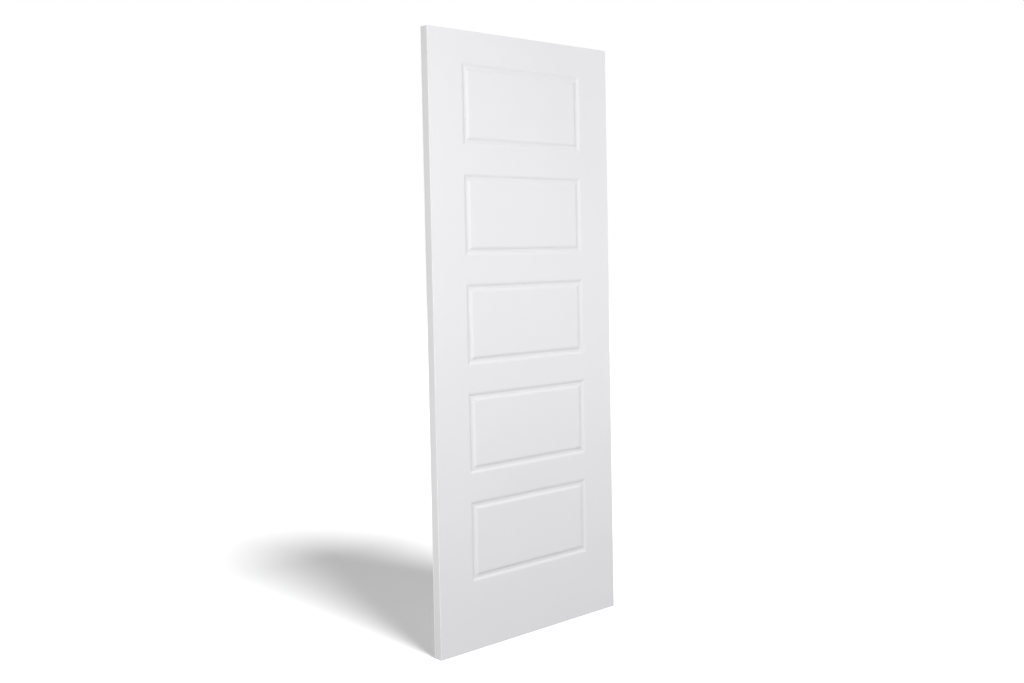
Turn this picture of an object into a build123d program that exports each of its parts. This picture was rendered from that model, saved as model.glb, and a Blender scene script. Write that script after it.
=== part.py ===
from build123d import *

# Five panel interior door: a moulded, hollow slab, in millimetres.
# The origin is the middle of the bottom edge. +X is right, +Y goes from the front face to the back, +Z is up.
import os
from math import atan2, sqrt, tan

# Overall size of the slab
door_width = 812.8
door_height = 2032.0
door_thickness = 34.93

# Pressed hardboard sheet of each face
skin_thickness = 3.2
skin_arris_radius = 1.0

# Flat widths of the face beside and between the mouldings
panel_count = 5
stile_flat = 135.2
top_rail_flat = 101.4
cross_rail_flat = 87.7
bottom_rail_flat = 226.9

# Moulding round each panel: a soft groove, with a floor between two slopes and a wide radius at each turn
groove_depth = 3.4
groove_floor = 9.0
outer_slope_width = 7.0
inner_slope_width = 7.0
crest_radius = 18.0
valley_radius = 9.0
moulding_margin = 1.5

# Wooden bars between the two skins
stile_width = 35.0
top_bar_height = 30.0
bottom_bar_height = 50.0

# Blocks that a lock can be bored into, one beside each stile
lock_block_width = 90.0
lock_block_height = 500.0
lock_height = 914.4

# Paper honeycomb glued between the skins
cell_pitch = 56.0
cell_wall = 1.2
core_clearance = 3.0

# Faces and thicknesses that follow
front_y = -door_thickness / 2
inner_thickness = door_thickness - 2 * skin_thickness
front_plane = Plane.XZ.offset(-front_y)
middle_plane = Plane.XZ

# Where the flat face ends, across the groove from the middle of its floor, positive away from the panel
outer_corner = groove_floor / 2 + outer_slope_width
inner_corner = -groove_floor / 2 - inner_slope_width
flat_edge = outer_corner + crest_radius * tan(atan2(groove_depth, outer_slope_width) / 2)
field_edge = inner_corner - crest_radius * tan(atan2(groove_depth, inner_slope_width) / 2)

# Places of the panels, from the top down, measured to the outer edge of each moulding
opening_width = door_width - 2 * stile_flat
panels_height = door_height - top_rail_flat - bottom_rail_flat - (panel_count - 1) * cross_rail_flat
opening_height = panels_height / panel_count
panel_pitch = opening_height + cross_rail_flat
top_panel_z = door_height - top_rail_flat - opening_height / 2
panel_heights = [top_panel_z - number * panel_pitch for number in range(panel_count)]

# Size of the rectangle that the middle of the groove's floor follows
groove_width = opening_width - 2 * flat_edge
groove_height = opening_height - 2 * flat_edge

os.makedirs("parts", exist_ok=True)


def save(part, name):
    part.label = name
    export_step(part, f"parts/{name}.step")


# Section of one sheet across a groove, as thick as the flat sheet all along
def moulding_section(plane):
    with BuildSketch(plane) as section:
        with BuildLine():
            FilletPolyline(
                (field_edge - moulding_margin, 0),
                (inner_corner, 0),
                (-groove_floor / 2, groove_depth),
                (groove_floor / 2, groove_depth),
                (outer_corner, 0),
                (flat_edge + moulding_margin, 0),
                radius=(crest_radius, valley_radius, valley_radius, crest_radius),
            )
            offset(amount=skin_thickness, side=Side.LEFT)
        make_face()
    return section.sketch


# Front skin: a flat sheet with a moulding swept round each of its panels
with BuildPart() as front_skin:
    outer_cut = 2 * (flat_edge + moulding_margin)
    inner_cut = 2 * (field_edge - moulding_margin)
    with BuildSketch(front_plane):
        with Locations((0, door_height / 2)):
            Rectangle(door_width, door_height)
        with Locations([(0, height) for height in panel_heights]):
            Rectangle(groove_width + outer_cut, groove_height + outer_cut, mode=Mode.SUBTRACT)
            Rectangle(groove_width + inner_cut, groove_height + inner_cut)
    extrude(amount=-skin_thickness)
    for panel_z in panel_heights:
        low_z = panel_z - groove_height / 2
        high_z = panel_z + groove_height / 2
        with BuildLine(front_plane) as groove_line:
            Polyline(
                (0, low_z),
                (groove_width / 2, low_z),
                (groove_width / 2, high_z),
                (-groove_width / 2, high_z),
                (-groove_width / 2, low_z),
                (0, low_z),
            )
        across_groove = Plane(origin=(0, front_y, low_z), x_dir=(0, 0, -1), z_dir=(1, 0, 0))
        sweep(moulding_section(across_groove), path=groove_line.wire(), transition=Transition.RIGHT)
    flat_faces = front_skin.faces().filter_by(Axis.Y).group_by(Axis.Y)[0]
    fillet(flat_faces.sort_by(SortBy.AREA)[-1].outer_wire().edges(), radius=skin_arris_radius)
save(front_skin.part, "front_skin")

# Back skin: the same sheet, turned to face the back
with BuildPart() as back_skin:
    mirror(front_skin.part, about=middle_plane)
save(back_skin.part, "back_skin")


# A rectangular bar that fills the space between the skins
def save_bar(name, middle_x, width, low_z, height):
    with BuildPart() as bar:
        with BuildSketch(middle_plane):
            with Locations((middle_x, low_z + height / 2)):
                Rectangle(width, height)
        extrude(amount=inner_thickness / 2, both=True)
    save(bar.part, name)


# Stiles run the full height, and the rails are held between them
stile_x = (door_width - stile_width) / 2
rail_length = door_width - 2 * stile_width
save_bar("left_stile", -stile_x, stile_width, 0, door_height)
save_bar("right_stile", stile_x, stile_width, 0, door_height)
save_bar("top_rail", 0, rail_length, door_height - top_bar_height, top_bar_height)
save_bar("bottom_rail", 0, rail_length, 0, bottom_bar_height)

# Lock blocks stand against the stiles, in the flat beside the mouldings
lock_block_x = (rail_length - lock_block_width) / 2
lock_block_z = lock_height - lock_block_height / 2
save_bar("left_lock_block", -lock_block_x, lock_block_width, lock_block_z, lock_block_height)
save_bar("right_lock_block", lock_block_x, lock_block_width, lock_block_z, lock_block_height)


# Expanded paper honeycomb: whole cells, pulled out until their rows fill the height
def save_honeycomb(name, middle_x, width, low_z, high_z):
    height = high_z - low_z - cell_wall
    rows = max(1, round(height / cell_pitch - 0.5))
    apothem = height / (2 * rows + 1)
    corner = 2 * apothem / sqrt(3)
    wall_corner = cell_wall / sqrt(3)
    columns = int((width - cell_wall - 2 * corner) / (1.5 * corner)) + 1
    with BuildPart() as honeycomb:
        with BuildSketch(middle_plane):
            with Locations((middle_x, (low_z + high_z) / 2)):
                with HexLocations(apothem, columns, rows):
                    RegularPolygon(corner + wall_corner, 6)
                with HexLocations(apothem, columns, rows):
                    RegularPolygon(corner - wall_corner, 6, mode=Mode.SUBTRACT)
        extrude(amount=inner_thickness / 2, both=True)
    save(honeycomb.part, name)


# Honeycomb behind each panel field
field_width = groove_width + 2 * field_edge - 2 * core_clearance
field_height = groove_height + 2 * field_edge - 2 * core_clearance
for number, panel_z in enumerate(panel_heights, start=1):
    low_z = panel_z - field_height / 2
    save_honeycomb(f"core_panel_{number}", 0, field_width, low_z, low_z + field_height)

# Honeycomb behind the flat rails between the panels
rail_pad_width = opening_width - 2 * core_clearance
for number, panel_z in enumerate(panel_heights[:-1], start=1):
    high_z = panel_z - opening_height / 2 - core_clearance
    low_z = high_z - cross_rail_flat + 2 * core_clearance
    save_honeycomb(f"core_rail_{number}", 0, rail_pad_width, low_z, high_z)

# Honeycomb behind the top and bottom rails, from stile to stile
full_width = rail_length - 2 * core_clearance
top_low = door_height - top_rail_flat + core_clearance
top_high = door_height - top_bar_height - core_clearance
save_honeycomb("core_top", 0, full_width, top_low, top_high)

bottom_low = bottom_bar_height + core_clearance
bottom_high = bottom_rail_flat - core_clearance
save_honeycomb("core_bottom", 0, full_width, bottom_low, bottom_high)

# Honeycomb beside the panels, above and below each lock block
side_pad_width = stile_flat - stile_width - 2 * core_clearance
side_pad_x = (opening_width + side_pad_width) / 2 + core_clearance
upper_low = lock_block_z + lock_block_height + core_clearance
upper_high = door_height - top_rail_flat - core_clearance
lower_low = bottom_rail_flat + core_clearance
lower_high = lock_block_z - core_clearance
for side, pad_x in (("left", -side_pad_x), ("right", side_pad_x)):
    save_honeycomb(f"core_{side}_upper", pad_x, side_pad_width, upper_low, upper_high)
    save_honeycomb(f"core_{side}_lower", pad_x, side_pad_width, lower_low, lower_high)
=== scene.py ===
from math import cos, pi, radians, sin

import bpy
from mathutils import Matrix, Vector


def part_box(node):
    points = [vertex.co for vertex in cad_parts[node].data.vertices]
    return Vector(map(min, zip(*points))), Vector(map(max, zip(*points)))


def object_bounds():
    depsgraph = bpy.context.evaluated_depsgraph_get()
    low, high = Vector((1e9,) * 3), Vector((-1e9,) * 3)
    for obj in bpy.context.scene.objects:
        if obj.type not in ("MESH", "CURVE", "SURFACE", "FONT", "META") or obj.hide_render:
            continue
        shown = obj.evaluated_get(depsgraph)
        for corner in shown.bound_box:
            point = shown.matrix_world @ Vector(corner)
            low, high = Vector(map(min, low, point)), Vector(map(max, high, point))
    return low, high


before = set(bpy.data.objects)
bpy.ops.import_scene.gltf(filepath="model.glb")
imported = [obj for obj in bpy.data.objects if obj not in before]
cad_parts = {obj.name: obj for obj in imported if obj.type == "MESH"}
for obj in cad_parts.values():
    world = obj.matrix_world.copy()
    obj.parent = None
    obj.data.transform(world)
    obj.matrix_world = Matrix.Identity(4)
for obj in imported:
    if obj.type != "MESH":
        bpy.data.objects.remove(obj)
cad_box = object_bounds()

# Five panel interior door, a moulded slab that stands on a white floor, in metres and degrees.
# The camera has the place and angle of the photograph.
CAMERA_PLACE = Vector((-2.6776, -2.9167, 1.3147))
CAMERA_YAW = -41.965
CAMERA_PITCH = -2.648
CAMERA_ROLL = -1.15
CAMERA_LENS = 40.671
CAMERA_SHIFT_Y = -0.0356

# Soft light from all round, and square lamps: name, place, side of the lamp, power in watts
SKY_STRENGTH = 0.465
LAMP_TARGET = Vector((0, 0, 1.0))
LAMPS = [
    ("key", Vector((-3.2, -1.7, 1.95)), 1.0, 76.0),
    ("front", Vector((-0.5, -3.2, 1.3)), 1.6, 8.0),
    ("front_right", Vector((1.2, -3.2, 2.3)), 1.6, 24.0),
    ("right", Vector((2.0, -2.2, 1.05)), 1.4, 15.0),
    ("low_left", Vector((-1.5, 0.6, 0.15)), 0.6, 5.2),
    ("right_side", Vector((2.2, 0.9, 1.1)), 0.9, 9.0),
    ("back", Vector((0.9, 2.8, 1.7)), 1.6, 40.0),
    ("top", Vector((0, 0.5, 3.6)), 0.8, 9.0),
]

# Sun on the floor alone, which casts the object's shadow: its light goes backwards, a little to the right
SUN_PLACE = Vector((0, 0, 4.0))
SUN_BEARING = 2.0
SUN_HEIGHT = 45.0
SUN_SOFTNESS = 25.0
SUN_STRENGTH = 4.2

# Floor: the grey that lights the object, and the white that the camera sees
FLOOR_SIZE = 40.0
FLOOR_COLOUR = (0.14, 0.14, 0.14)
FLOOR_SEEN_COLOUR = (1.0, 1.0, 1.0)
FLOOR_ROUGHNESS = 1.0

# Noise gives values near a half, and most of them lie in this range
NOISE_RANGE = (0.3, 0.7)
CLOUD_SIZE = 0.35
CLOUD_RANGE = (0.35, 0.65)

# Primed hardboard: a shade is a part of the primer's colour, and a depth is the height of the relief.
# The grooves get painted shade: their colour is darkened fully from 3 mm below the flat of the face, and
# not at all near it.
PRIMER_COLOUR = (0.823, 0.82, 0.838)
PRIMER_CLOUD_SHADES = (0.985, 1.01)
PRIMER_ROUGHNESS = (0.46, 0.54)
GROOVE_PAINTED_SHADE = 0.975
PAINTED_SHADE_FULL_DEPTH = 0.003
PAINTED_SHADE_START_DEPTH = 0.0002
PEEL_SIZE = 0.003
PEEL_DEPTH = 0.00006
PEEL_ROUGHNESS = (-0.02, 0.02)
# Pits: dents in the primer, darkened inside as painted shade
PIT_SIZE = 0.0016
PIT_DEPTH = 0.00006
PIT_RANGE = (0.27, 0.33)
PIT_PAINTED_SHADE = 0.9
PATCH_SIZE = 0.09
PATCH_RANGE = (0.52, 0.62)

# Grain and rings of all the wood, and how far apart the wave texture's rings lie at a scale of 1
GRAIN_SIZE = 0.0025
GRAIN_STRETCH = 40.0
GRAIN_DEPTH = 0.00008
RING_SIZE = 0.005
TEXTURE_RING_SIZE = pi / 10
RING_DISTORTION = 3.0
RING_FADE_SIZE = 0.05
RING_FADE = (0.5, 1.0)

# Primed wood: the primer is painted greyer than the skins' as painted shade on the edges, with a seam
# where they meet
WOOD_PRIMER_PAINTED_SHADE_COLOUR = (0.66, 0.66, 0.66)
WOOD_PRIMER_CLOUD_SHADE = 0.975
WOOD_PRIMER_ROUGHNESS = (0.64, 0.54)
PRIMED_GRAIN_SHADE = 0.93
PRIMED_GRAIN_RANGE = (0.3, 0.42)
PRIMED_RING_RANGE = (0.35, 0.9)
PRIMED_RING_STRENGTH = (0.0, 0.5)
SEAM_SHADE = 0.72
SEAM_WIDTH = 0.0004
SEAM_DEPTH = 0.0002

# Bare softwood
BARE_WOOD_COLOUR = (0.72, 0.55, 0.36)
BARE_RING_COLOUR = (0.55, 0.37, 0.2)
BARE_GRAIN_COLOUR = (0.5, 0.34, 0.19)
BARE_RING_RANGE = (0.2, 0.9)
BARE_GRAIN_RANGE = (0.3, 0.45)
BARE_WOOD_ROUGHNESS = (0.78, 0.66)

# Kraft paper
PAPER_COLOURS = ((0.58, 0.43, 0.28), (0.65, 0.5, 0.34))
PAPER_CLOUD_SIZE = 0.04
PAPER_ROUGHNESS = (0.82, 0.92)
FIBRE_COLOUR = (0.42, 0.29, 0.18)
FIBRE_SIZE = 0.0012
FIBRE_DEPTH = 0.00005
FIBRE_RANGE = (0.62, 0.72)
FIBRE_STRENGTH = (0.0, 0.6)
FIBRE_FACTORS = (1, 1, 4)
FIBRE_DISTORTION = 0.8

# Distances from the middle plane of the slab: where the skins meet the wood, and the flat of each face
seam_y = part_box("left_stile")[1].y
face_y = cad_box[1].y


# A material with one shader, whose node tree the functions below add to
def new_material(name):
    material = bpy.data.materials.new(name)
    material.use_nodes = True
    tree = material.node_tree
    tree.nodes.clear()
    output = tree.nodes.new("ShaderNodeOutputMaterial")
    shader = tree.nodes.new("ShaderNodeBsdfPrincipled")
    tree.links.new(shader.outputs[0], output.inputs["Surface"])
    return material, tree, shader


# Place on the object in metres, multiplied along each axis
def object_place(tree, factors=(1, 1, 1)):
    place = tree.nodes.new("ShaderNodeTexCoord")
    mapping = tree.nodes.new("ShaderNodeMapping")
    mapping.inputs["Scale"].default_value = factors
    tree.links.new(place.outputs["Object"], mapping.inputs["Vector"])
    return mapping.outputs[0]


def noise(tree, place, size, detail, distortion=0.0):
    texture = tree.nodes.new("ShaderNodeTexNoise")
    texture.inputs["Scale"].default_value = 1 / size
    texture.inputs["Detail"].default_value = detail
    texture.inputs["Distortion"].default_value = distortion
    tree.links.new(place, texture.inputs["Vector"])
    return texture.outputs["Fac"]


# Turns one range of a value into another, and holds it inside the new range
def ranged(tree, value, old_range, new_range=(0.0, 1.0)):
    node = tree.nodes.new("ShaderNodeMapRange")
    node.inputs["From Min"].default_value = old_range[0]
    node.inputs["From Max"].default_value = old_range[1]
    node.inputs["To Min"].default_value = new_range[0]
    node.inputs["To Max"].default_value = new_range[1]
    tree.links.new(value, node.inputs["Value"])
    return node.outputs["Result"]


def calculate(tree, operation, *values):
    node = tree.nodes.new("ShaderNodeMath")
    node.operation = operation
    for socket, value in zip(node.inputs, values):
        if isinstance(value, float):
            socket.default_value = value
        else:
            tree.links.new(value, socket)
    return node.outputs[0]


# From the first colour where the factor is 0 to the second one where it is 1
def mix_colours(tree, factor, first, second):
    node = tree.nodes.new("ShaderNodeMix")
    node.data_type = "RGBA"
    tree.links.new(factor, node.inputs["Factor"])
    for name, value in (("A", first), ("B", second)):
        socket = [item for item in node.inputs if item.name == name and item.type == "RGBA"][0]
        if isinstance(value, tuple):
            socket.default_value = (*value, 1.0)
        else:
            tree.links.new(value, socket)
    return [item for item in node.outputs if item.type == "RGBA"][0]


def shade(colour, factor):
    return tuple(part * factor for part in colour)


# Adds relief whose full height is depth, on top of the relief given
def bump(tree, height, depth, below=None):
    node = tree.nodes.new("ShaderNodeBump")
    node.inputs["Distance"].default_value = depth
    tree.links.new(height, node.inputs["Height"])
    if below is not None:
        tree.links.new(below, node.inputs["Normal"])
    return node.outputs["Normal"]


# Distance from the middle plane of the slab
def depth_in_slab(tree):
    split = tree.nodes.new("ShaderNodeSeparateXYZ")
    tree.links.new(object_place(tree), split.inputs[0])
    return calculate(tree, "ABSOLUTE", split.outputs["Y"])


# Primer sprayed on smooth hardboard: soft clouds, a fine peel, and pits in scattered patches, with
# painted shade in the grooves and in the pits
def primed_hardboard():
    material, tree, shader = new_material("primed_hardboard")
    place = object_place(tree)
    cloud = noise(tree, place, CLOUD_SIZE, detail=4.0)
    peel = noise(tree, place, PEEL_SIZE, detail=2.0)
    clear_of_pits = ranged(tree, noise(tree, place, PIT_SIZE, detail=1.0), PIT_RANGE)
    patches = ranged(tree, noise(tree, place, PATCH_SIZE, detail=2.0), PATCH_RANGE)
    clear_of_pits = calculate(tree, "MAXIMUM", clear_of_pits, calculate(tree, "SUBTRACT", 1.0, patches))
    # Painted shade: the colour darkens going down into the grooves
    painted_shade_range = (face_y - PAINTED_SHADE_FULL_DEPTH, face_y - PAINTED_SHADE_START_DEPTH)
    flat = ranged(tree, depth_in_slab(tree), painted_shade_range)
    clouds = [shade(PRIMER_COLOUR, factor) for factor in PRIMER_CLOUD_SHADES]
    clouded = mix_colours(tree, ranged(tree, cloud, CLOUD_RANGE), *clouds)
    with_painted_groove_shade = mix_colours(tree, flat, shade(PRIMER_COLOUR, GROOVE_PAINTED_SHADE), clouded)
    # Painted shade: the pits are darkened
    pitted = mix_colours(tree, clear_of_pits, shade(PRIMER_COLOUR, PIT_PAINTED_SHADE), with_painted_groove_shade)
    tree.links.new(pitted, shader.inputs["Base Color"])
    cloud_roughness = ranged(tree, cloud, CLOUD_RANGE, PRIMER_ROUGHNESS)
    peel_roughness = ranged(tree, peel, NOISE_RANGE, PEEL_ROUGHNESS)
    tree.links.new(calculate(tree, "ADD", cloud_roughness, peel_roughness), shader.inputs["Roughness"])
    relief = bump(tree, clear_of_pits, PIT_DEPTH, bump(tree, peel, PEEL_DEPTH))
    tree.links.new(relief, shader.inputs["Normal"])
    return material


# Growth rings that run along one axis and show as grain on the sides and as arcs on the ends
def wood_rings(tree, along):
    factors = [1.0, 1.0, 1.0]
    factors["XYZ".index(along)] = 1 / GRAIN_STRETCH
    fade = noise(tree, object_place(tree, factors), RING_FADE_SIZE, detail=2.0)
    fine = noise(tree, object_place(tree, factors), GRAIN_SIZE, detail=3.0)
    rings = tree.nodes.new("ShaderNodeTexWave")
    rings.wave_type = "RINGS"
    rings.rings_direction = along
    rings.inputs["Scale"].default_value = TEXTURE_RING_SIZE / RING_SIZE
    rings.inputs["Distortion"].default_value = RING_DISTORTION
    rings.inputs["Detail"].default_value = 2.0
    tree.links.new(object_place(tree, factors), rings.inputs["Vector"])
    bands = calculate(tree, "MULTIPLY", rings.outputs["Fac"], ranged(tree, fade, NOISE_RANGE, RING_FADE))
    return bands, fine


# Primer on a wooden bar, greyer than on the skins as painted shade: the grain shows through, and a fine
# seam lies where each skin meets the wood
def primed_wood(name, along):
    material, tree, shader = new_material(name)
    bands, fine = wood_rings(tree, along)
    cloud = noise(tree, object_place(tree), CLOUD_SIZE, detail=4.0)
    clear_of_seam = ranged(tree, depth_in_slab(tree), (seam_y - SEAM_WIDTH, seam_y), (1.0, 0.0))
    # The grey of the wood primer is painted shade on the edges
    grain_colour = shade(WOOD_PRIMER_PAINTED_SHADE_COLOUR, PRIMED_GRAIN_SHADE)
    cloud_colour = shade(WOOD_PRIMER_PAINTED_SHADE_COLOUR, WOOD_PRIMER_CLOUD_SHADE)
    clouded = mix_colours(tree, ranged(tree, cloud, CLOUD_RANGE), cloud_colour, WOOD_PRIMER_PAINTED_SHADE_COLOUR)
    ring_strength = ranged(tree, bands, PRIMED_RING_RANGE, PRIMED_RING_STRENGTH)
    ringed = mix_colours(tree, ring_strength, clouded, grain_colour)
    grained = mix_colours(tree, ranged(tree, fine, PRIMED_GRAIN_RANGE), grain_colour, ringed)
    seamed = mix_colours(tree, clear_of_seam, shade(WOOD_PRIMER_PAINTED_SHADE_COLOUR, SEAM_SHADE), grained)
    tree.links.new(seamed, shader.inputs["Base Color"])
    tree.links.new(ranged(tree, fine, NOISE_RANGE, WOOD_PRIMER_ROUGHNESS), shader.inputs["Roughness"])
    relief = bump(tree, fine, GRAIN_DEPTH, bump(tree, clear_of_seam, SEAM_DEPTH))
    tree.links.new(relief, shader.inputs["Normal"])
    return material


# Bare softwood of the lock blocks
def bare_wood():
    material, tree, shader = new_material("bare_wood")
    bands, fine = wood_rings(tree, "Z")
    ringed = mix_colours(tree, ranged(tree, bands, BARE_RING_RANGE), BARE_WOOD_COLOUR, BARE_RING_COLOUR)
    grained = mix_colours(tree, ranged(tree, fine, BARE_GRAIN_RANGE), BARE_GRAIN_COLOUR, ringed)
    tree.links.new(grained, shader.inputs["Base Color"])
    tree.links.new(ranged(tree, fine, NOISE_RANGE, BARE_WOOD_ROUGHNESS), shader.inputs["Roughness"])
    tree.links.new(bump(tree, fine, GRAIN_DEPTH), shader.inputs["Normal"])
    return material


# Brown kraft paper of the honeycomb, with loose fibres
def kraft_paper():
    material, tree, shader = new_material("kraft_paper")
    fibre_place = object_place(tree, FIBRE_FACTORS)
    fibres = noise(tree, fibre_place, FIBRE_SIZE, detail=4.0, distortion=FIBRE_DISTORTION)
    cloud = noise(tree, object_place(tree), PAPER_CLOUD_SIZE, detail=3.0)
    paper = mix_colours(tree, ranged(tree, cloud, NOISE_RANGE), *PAPER_COLOURS)
    fibred = mix_colours(tree, ranged(tree, fibres, FIBRE_RANGE, FIBRE_STRENGTH), paper, FIBRE_COLOUR)
    tree.links.new(fibred, shader.inputs["Base Color"])
    tree.links.new(ranged(tree, fibres, NOISE_RANGE, PAPER_ROUGHNESS), shader.inputs["Roughness"])
    tree.links.new(bump(tree, fibres, FIBRE_DEPTH), shader.inputs["Normal"])
    return material


def set_material(node_name, material):
    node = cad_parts[node_name]
    node.data.materials.clear()
    node.data.materials.append(material)


# Each piece of the slab gets the material of its kind, with the grain along the bar
def dress_slab():
    skin_material = primed_hardboard()
    upright_material = primed_wood("primed_wood_upright", "Z")
    level_material = primed_wood("primed_wood_level", "X")
    block_material = bare_wood()
    core_material = kraft_paper()
    for node_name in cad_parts:
        if node_name.endswith("skin"):
            set_material(node_name, skin_material)
        elif node_name.endswith("stile"):
            set_material(node_name, upright_material)
        elif node_name.endswith("lock_block"):
            set_material(node_name, block_material)
        elif node_name.startswith("core"):
            set_material(node_name, core_material)
        else:
            set_material(node_name, level_material)


# 1 for the rays that show the white background: straight to the camera, glossy or through glass
def seen_rays(tree):
    path = tree.nodes.new("ShaderNodeLightPath")
    seen = calculate(tree, "MAXIMUM", path.outputs["Is Camera Ray"], path.outputs["Is Glossy Ray"])
    return calculate(tree, "MAXIMUM", seen, path.outputs["Is Transmission Ray"])


# Floor that looks white to the camera and keeps the object's shadow
def make_floor():
    mesh = bpy.data.meshes.new("floor")
    half = FLOOR_SIZE / 2
    corners = [(-half, -half, 0), (half, -half, 0), (half, half, 0), (-half, half, 0)]
    mesh.from_pydata(corners, [], [(0, 1, 2, 3)])
    floor = bpy.data.objects.new("floor", mesh)
    bpy.context.scene.collection.objects.link(floor)
    material, tree, shader = new_material("white_floor")
    shader.inputs["Roughness"].default_value = FLOOR_ROUGHNESS
    shader.inputs["Specular IOR Level"].default_value = 0.0
    floor_colour = mix_colours(tree, seen_rays(tree), FLOOR_COLOUR, FLOOR_SEEN_COLOUR)
    tree.links.new(floor_colour, shader.inputs["Base Color"])
    mesh.materials.append(material)
    return floor


# White to the camera, and a soft light from all round on the object
def make_world():
    world = bpy.data.worlds.new("studio")
    bpy.context.scene.world = world
    world.use_nodes = True
    tree = world.node_tree
    tree.nodes.clear()
    output = tree.nodes.new("ShaderNodeOutputWorld")
    background = tree.nodes.new("ShaderNodeBackground")
    background.inputs["Color"].default_value = (1.0, 1.0, 1.0, 1.0)
    strength = ranged(tree, seen_rays(tree), (0.0, 1.0), (SKY_STRENGTH, 1.0))
    tree.links.new(strength, background.inputs["Strength"])
    tree.links.new(background.outputs[0], output.inputs["Surface"])


# Puts a lamp in the scene that lights only the objects given
def place_lamp(data, place, way, lit):
    lamp = bpy.data.objects.new(data.name, data)
    lamp.location = place
    lamp.rotation_euler = way.to_track_quat("-Z", "Y").to_euler()
    bpy.context.scene.collection.objects.link(lamp)
    group = bpy.data.collections.new(data.name + "_lit")
    for item in lit:
        group.objects.link(item)
    lamp.light_linking.receiver_collection = group


# A lamp on the slab alone
def make_lamp(name, place, size, power):
    data = bpy.data.lights.new(name, "AREA")
    data.shape = "SQUARE"
    data.size = size
    data.energy = power
    place_lamp(data, place, LAMP_TARGET - place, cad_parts.values())


# A sun on the floor alone
def make_sun(floor):
    data = bpy.data.lights.new("sun", "SUN")
    data.angle = radians(SUN_SOFTNESS)
    data.energy = SUN_STRENGTH
    level = cos(radians(SUN_HEIGHT))
    bearing = radians(SUN_BEARING)
    way = Vector((level * sin(bearing), level * cos(bearing), -sin(radians(SUN_HEIGHT))))
    place_lamp(data, SUN_PLACE, way, [floor])


def make_camera():
    data = bpy.data.cameras.new("camera")
    data.lens = CAMERA_LENS
    data.shift_y = CAMERA_SHIFT_Y
    camera = bpy.data.objects.new("camera", data)
    turn = Matrix.Rotation(radians(CAMERA_YAW), 4, "Z")
    tilt = Matrix.Rotation(radians(90 + CAMERA_PITCH), 4, "X")
    roll = Matrix.Rotation(radians(CAMERA_ROLL), 4, "Z")
    camera.matrix_world = Matrix.Translation(CAMERA_PLACE) @ turn @ tilt @ roll
    bpy.context.scene.collection.objects.link(camera)
    bpy.context.scene.camera = camera


dress_slab()
make_sun(make_floor())
make_world()
for lamp in LAMPS:
    make_lamp(*lamp)
make_camera()
bpy.context.scene.view_settings.view_transform = "Standard"
